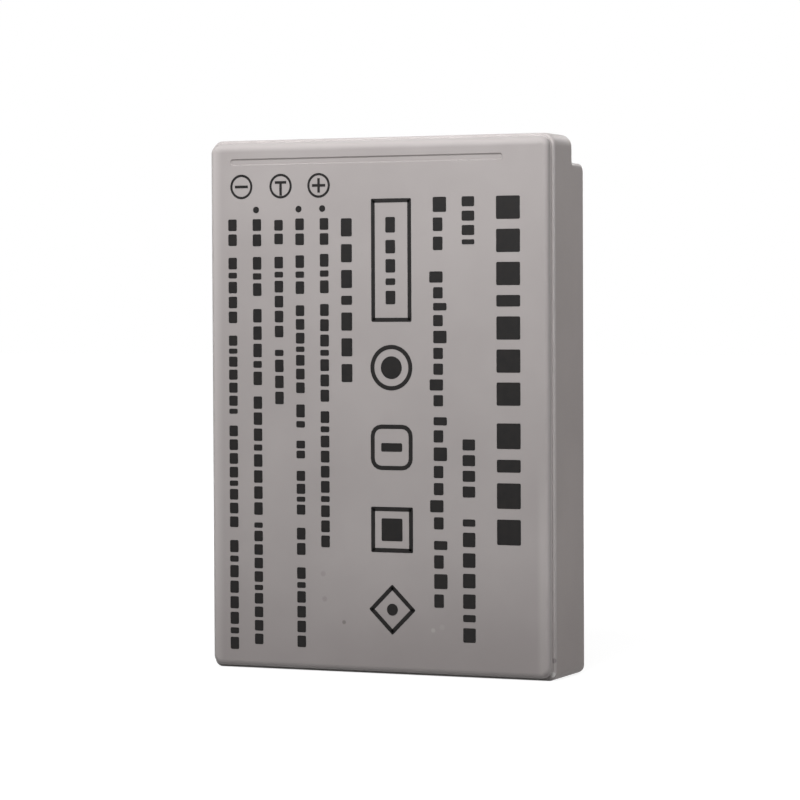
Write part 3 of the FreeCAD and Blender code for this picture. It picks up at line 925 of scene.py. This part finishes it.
@dataclass(frozen=True)
class LabelPrint:
    """Dark print on the label face, in plain bars, fields and marks. Millimetres in the pack's frame.

    The mark fields size the rings over the contacts, the sign and letter fields the strokes in them, and
    the symbol and diamond fields the four plain symbols.
    """

    ink: ScreenPrintInk = ScreenPrintInk()
    sunk: float = 0.02
    proud: float = 0.012
    corner: float = 0.12
    mark_radius: float = 1.04
    mark_stroke: float = 0.2
    sign_stroke: float = 0.23
    sign_arm: float = 0.61
    letter_arm: float = 0.53
    letter_lift: float = 0.31
    letter_stem: float = 1.12
    mark_xs: tuple[float, ...] = (-12.38, -8.7, -5.17)
    mark_z: float = 40.94
    title: tuple[PrintLine, ...] = (
        PrintLine(10.82, 2.1, ((39.8, 22.6, 7), (21.15, 11.15, 4)), gap=0.42),
    )
    ratings: tuple[PrintLine, ...] = (
        PrintLine(7.78, 1.12, ((39.8, 35.85, 4), (19.8, 15.0, 4), (13.2, 3.0, 7)), gap=0.42),
    )
    notes: tuple[PrintLine, ...] = (
        PrintLine(
            5.2,
            1.2,
            ((39.8, 35.4, 3), (33.65, 22.5, 9), (21.6, 12.3, 7), (11.35, 5.8, 4)),
            (Block.CAPITAL, Block.SMALL, Block.SMALL, Block.HANGING, Block.SMALL, Block.TALL, Block.SMALL),
            gap=0.36,
        ),
    )
    field_low: Point = (-0.38, 29.49)
    field_high: Point = (3.25, 39.74)
    field_stroke: float = 0.34
    field_line: tuple[PrintLine, ...] = (
        PrintLine(0.92, 0.88, ((38.2, 36.9, 1), (36.3, 30.95, 4)), gap=0.42),
    )
    heading: tuple[PrintLine, ...] = (PrintLine(-3.14, 1.0, ((38.15, 24.45, 7),), gap=0.42),)
    fine_lines: tuple[PrintLine, ...] = (
        PrintLine(-5.09, 0.8, ((38.2, 35.95, 2), (35.2, 31.9, 3), (31.0, 22.8, 7), (22.0, 10.55, 10))),
        PrintLine(
            -7.35,
            0.8,
            (
                (38.2, 35.95, 2),
                (35.1, 31.85, 3),
                (30.9, 23.5, 7),
                (22.55, 20.6, 2),
                (19.5, 18.0, 2),
                (16.95, 13.25, 4),
                (12.15, 9.85, 2),
                (8.8, 2.05, 6),
            ),
        ),
        PrintLine(-9.31, 0.8, ((38.1, 36.05, 2), (35.0, 28.2, 6), (27.15, 22.55, 4))),
        PrintLine(
            -11.34,
            0.8,
            ((38.2, 35.9, 2), (35.0, 31.7, 3), (30.6, 24.15, 5), (23.2, 13.15, 8), (12.5, 2.15, 10)),
        ),
        PrintLine(
            -13.64,
            0.8,
            ((38.2, 35.95, 2), (34.95, 29.4, 5), (28.35, 21.7, 7), (20.7, 12.05, 8), (10.95, 1.65, 8)),
        ),
    )
    bullets: tuple[Point, ...] = ((-4.85, 39.0), (-7.04, 38.98), (-11.01, 38.97))
    bullet_radius: float = 0.28
    symbol_x: float = 1.41
    symbol_zs: tuple[float, ...] = (25.68, 19.04, 12.17, 5.5)
    symbol_reach: float = 1.9
    symbol_core: float = 0.95
    symbol_stroke: float = 0.36
    diamond_reach: float = 1.5
    diamond_turn: float = 45.0
    diamond_core: float = 0.5

    def build(self) -> None:
        """Builds and dresses every piece of the print."""
        material = material_of(self.ink)
        drawings = {
            "terminal_marks": self._terminal_marks(),
            "title_bars": self._lines(self.title),
            "rating_bars": self._lines(self.ratings),
            "note_bars": self._lines(self.notes),
            "framed_field": self._framed_field(),
            "plain_symbols": self._symbols(),
            "heading_bar": self._lines(self.heading),
            "fine_print_bars": self._fine_print(),
        }
        face_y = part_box("front_cover")[0].y
        for name, drawing in drawings.items():
            piece = add_piece(name, drawing.raised(face_y, self.sunk, self.proud))
            piece.data.materials.append(material)

    def _lines(self, lines: tuple[PrintLine, ...]) -> InkDrawing:
        """Draws some lines of print.

        Args:
            lines: The lines.

        Returns:
            The drawing.
        """
        drawing = InkDrawing()
        for line in lines:
            line.draw(drawing, self.corner)
        return drawing

    def _terminal_marks(self) -> InkDrawing:
        """Draws the ringed marks of the negative, temperature and positive contacts.

        Returns:
            The drawing.
        """
        drawing = InkDrawing()
        across = {Arm.LEFT: self.sign_arm, Arm.RIGHT: self.sign_arm}
        short = {Arm.LEFT: self.letter_arm, Arm.RIGHT: self.letter_arm}
        marks = (
            (0.0, across),
            (self.letter_lift, {**short, Arm.DOWN: self.letter_stem}),
            (0.0, {**across, Arm.UP: self.sign_arm, Arm.DOWN: self.sign_arm}),
        )
        for x, (lift, arms) in zip(self.mark_xs, marks):
            drawing.ring((x, self.mark_z), self.mark_radius, self.mark_stroke)
            drawing.strokes((x, self.mark_z + lift), self.sign_stroke, arms)
        return drawing

    def _framed_field(self) -> InkDrawing:
        """Draws the framed field with its line.

        Returns:
            The drawing.
        """
        drawing = self._lines(self.field_line)
        drawing.frame(self.field_low, self.field_high, self.corner, self.field_stroke)
        return drawing

    def _square(self, z: float, reach: float) -> tuple[Point, Point]:
        """Gives the low and high corners of a square in the row of symbols."""
        return (self.symbol_x - reach, z - reach), (self.symbol_x + reach, z + reach)

    def _symbols(self) -> InkDrawing:
        """Draws four plain symbols in a row: ringed disc, framed bar, framed square and diamond.

        Returns:
            The drawing.
        """
        drawing = InkDrawing()
        ring_z, bar_z, square_z, diamond_z = self.symbol_zs
        x, reach, core, stroke = self.symbol_x, self.symbol_reach, self.symbol_core, self.symbol_stroke
        drawing.ring((x, ring_z), reach, stroke)
        drawing.disc((x, ring_z), core)
        drawing.frame(*self._square(bar_z, reach), core, stroke)
        drawing.bar((x - core, bar_z - stroke), (x + core, bar_z + stroke), self.corner)
        drawing.frame(*self._square(square_z, reach), self.corner, stroke)
        drawing.bar(*self._square(square_z, core), self.corner)
        diamond = self._square(diamond_z, self.diamond_reach)
        drawing.frame(*diamond, self.corner, stroke, self.diamond_turn)
        drawing.disc((x, diamond_z), self.diamond_core)
        return drawing

    def _fine_print(self) -> InkDrawing:
        """Draws the small lines and the bullets before them.

        Returns:
            The drawing.
        """
        drawing = self._lines(self.fine_lines)
        for bullet in self.bullets:
            drawing.disc(bullet, self.bullet_radius)
        return drawing


@dataclass(frozen=True)
class Lamp:
    """Soft square lamp that faces the middle of the pack. The camera sees its light, but not the lamp.

    Attributes:
        name: Name of the lamp.
        azimuth: Angle round the pack in degrees: 0 in front of the label, 90 on the right of it.
        elevation: Angle above the horizon in degrees.
        distance: Distance from the pack's middle in metres.
        size: Side of the lamp in metres.
        watts: Its power.
    """

    name: str
    azimuth: float
    elevation: float
    distance: float
    size: float
    watts: float

    def build(self) -> None:
        """Hangs the lamp."""
        data = bpy.data.lights.new(self.name, "AREA")
        data.size = self.size
        data.energy = self.watts
        lamp = bpy.data.objects.new(self.name, data)
        lamp.visible_camera = False
        turn = (
            Matrix.Rotation(math.radians(self.azimuth), 4, "Z")
            @ Matrix.Rotation(math.radians(QUARTER_TURN - self.elevation), 4, "X")
        )
        middle = (CAD_BOX[0] + CAD_BOX[1]) / 2
        lamp.matrix_world = Matrix.Translation(middle) @ turn @ Matrix.Translation((0, 0, self.distance))
        bpy.context.scene.collection.objects.link(lamp)
        LOG.info("%s shines with %.2f W", self.name, self.watts)


@dataclass(frozen=True)
class Studio:
    """White studio: a pale floor that keeps the pack's shadow, soft lamps and an even room.

    Attributes:
        floor_reach: Half the floor's side in metres.
        floor_colour: The floor as it is seen.
        bounce_colour: The floor as it lights the pack.
        floor_roughness: The floor's roughness.
        floor_glow: How much the floor glows to the camera near the pack, and away from it.
        glow_span: Distances in millimetres at which the first glow ends and the second begins.
        room_light: Strength of the room as it lights, and as it is seen.
        lamps: The lamps.
    """

    floor_reach: float = 1.5
    floor_colour: Rgb = (140, 140, 140)
    bounce_colour: Rgb = (128, 128, 128)
    floor_roughness: float = 0.9
    floor_glow: Point = (0.88, 1.0)
    glow_span: Point = (30.0, 120.0)
    room_light: Point = (0.05, 1.0)
    lamps: tuple[Lamp, ...] = (
        Lamp("key_lamp", azimuth=0, elevation=40, distance=0.10, size=0.08, watts=0.107),
        Lamp("left_lamp", azimuth=-60, elevation=50, distance=0.16, size=0.14, watts=0.028),
        Lamp("right_lamp", azimuth=80, elevation=20, distance=0.30, size=0.25, watts=0.21),
        Lamp("back_lamp", azimuth=180, elevation=60, distance=0.30, size=0.25, watts=0.12),
        Lamp("rear_lamp", azimuth=180, elevation=15, distance=0.30, size=0.10, watts=0.3),
    )

    def build(self) -> None:
        """Builds the floor, the lamps and the room."""
        for lamp in self.lamps:
            lamp.build()
        self._build_floor()
        self._light_room()

    def _build_floor(self) -> None:
        """Lays the floor under the pack."""
        mesh = bmesh.new()
        bmesh.ops.create_grid(mesh, x_segments=1, y_segments=1, size=self.floor_reach)
        data = bpy.data.meshes.new("studio_floor")
        mesh.to_mesh(data)
        mesh.free()
        data.materials.append(self._floor_material())
        floor = bpy.data.objects.new("studio_floor", data)
        bpy.context.scene.collection.objects.link(floor)

    def _floor_material(self) -> bpy.types.Material:
        """Makes the floor pale to the camera and in reflections, and white away from the pack's shadow.

        Returns:
            The material.
        """
        graph = Graph("studio_floor")
        graph.fix(roughness=self.floor_roughness, specular_ior_level=0.0)
        graph.shader.inputs["Emission Color"].default_value = WHITE
        seen = self._seen_ray(graph.material.node_tree)
        graph.feed("Base Color", graph.blend(seen, self.bounce_colour, self.floor_colour))
        away = graph.add("ShaderNodeVectorMath", operation="LENGTH")
        graph.link(graph.position, away.inputs[0])
        glow = graph.remap(away.outputs["Value"], self.glow_span, self.floor_glow, soft=True)
        graph.feed("Emission Strength", graph.product(glow, seen))
        return graph.material

    def _light_room(self) -> None:
        """Makes the room white to the camera and in reflections, and an even soft light otherwise."""
        world = bpy.data.worlds.new("studio_room")
        world.use_nodes = True
        bpy.context.scene.world = world
        tree = world.node_tree
        background = tree.nodes["Background"]
        background.inputs["Color"].default_value = WHITE
        strength = tree.nodes.new("ShaderNodeMapRange")
        strength.inputs["To Min"].default_value, strength.inputs["To Max"].default_value = self.room_light
        tree.links.new(self._seen_ray(tree), strength.inputs["Value"])
        tree.links.new(strength.outputs["Result"], background.inputs["Strength"])

    @staticmethod
    def _seen_ray(tree: bpy.types.NodeTree) -> Socket:
        """Tells the rays that show the background from those that only light.

        Args:
            tree: Node tree that asks.

        Returns:
            1 for camera, glossy and transmission rays, 0 for others.
        """
        path = tree.nodes.new("ShaderNodeLightPath")
        total = path.outputs["Is Camera Ray"]
        for kind in ("Is Glossy Ray", "Is Transmission Ray"):
            either = tree.nodes.new("ShaderNodeMath")
            either.operation = "MAXIMUM"
            tree.links.new(total, either.inputs[0])
            tree.links.new(path.outputs[kind], either.inputs[1])
            total = either.outputs["Value"]
        return total


@dataclass(frozen=True)
class PhotoCamera:
    """Camera at the photograph's viewing angle.

    Attributes:
        place: The camera's place in millimetres.
        yaw: Turn to the left about the upright, in degrees.
        pitch: Turn downwards in degrees.
        roll: Turn about the line of sight in degrees.
        focal_pixels: Focal length in pixels of the image.
        image_pixels: Side of the image in pixels.
        sensor: Width of the sensor in millimetres.
        clip: Nearest and furthest distance that is drawn, in metres.
    """

    place: Place = (107.79, -247.88, 31.07)
    yaw: float = 23.41
    pitch: float = 1.74
    roll: float = -0.25
    focal_pixels: float = 3200.0
    image_pixels: float = 800.0
    sensor: float = 36.0
    clip: Point = (0.01, 20.0)

    def build(self) -> None:
        """Sets up the camera."""
        data = bpy.data.cameras.new("photo_camera")
        data.sensor_width = self.sensor
        data.lens = self.focal_pixels / self.image_pixels * self.sensor
        data.clip_start, data.clip_end = self.clip
        camera = bpy.data.objects.new("photo_camera", data)
        turn = (
            Matrix.Rotation(math.radians(self.yaw), 4, "Z")
            @ Matrix.Rotation(math.radians(QUARTER_TURN - self.pitch), 4, "X")
            @ Matrix.Rotation(math.radians(self.roll), 4, "Z")
        )
        camera.matrix_world = Matrix.Translation(Vector(self.place) * MM) @ turn
        bpy.context.scene.collection.objects.link(camera)
        bpy.context.scene.camera = camera


def main() -> None:
    """Dresses the pack, prints its label and sets up the studio."""
    logging.basicConfig(level=logging.INFO, format="%(name)s: %(message)s")
    bpy.context.scene.view_settings.view_transform = "Standard"
    for assembly in (Housing(), Terminals(), Cell(), ProtectionCircuit()):
        assembly.dress()
    LabelPrint().build()
    Studio().build()
    PhotoCamera().build()


if __name__ == "__main__":
    main()
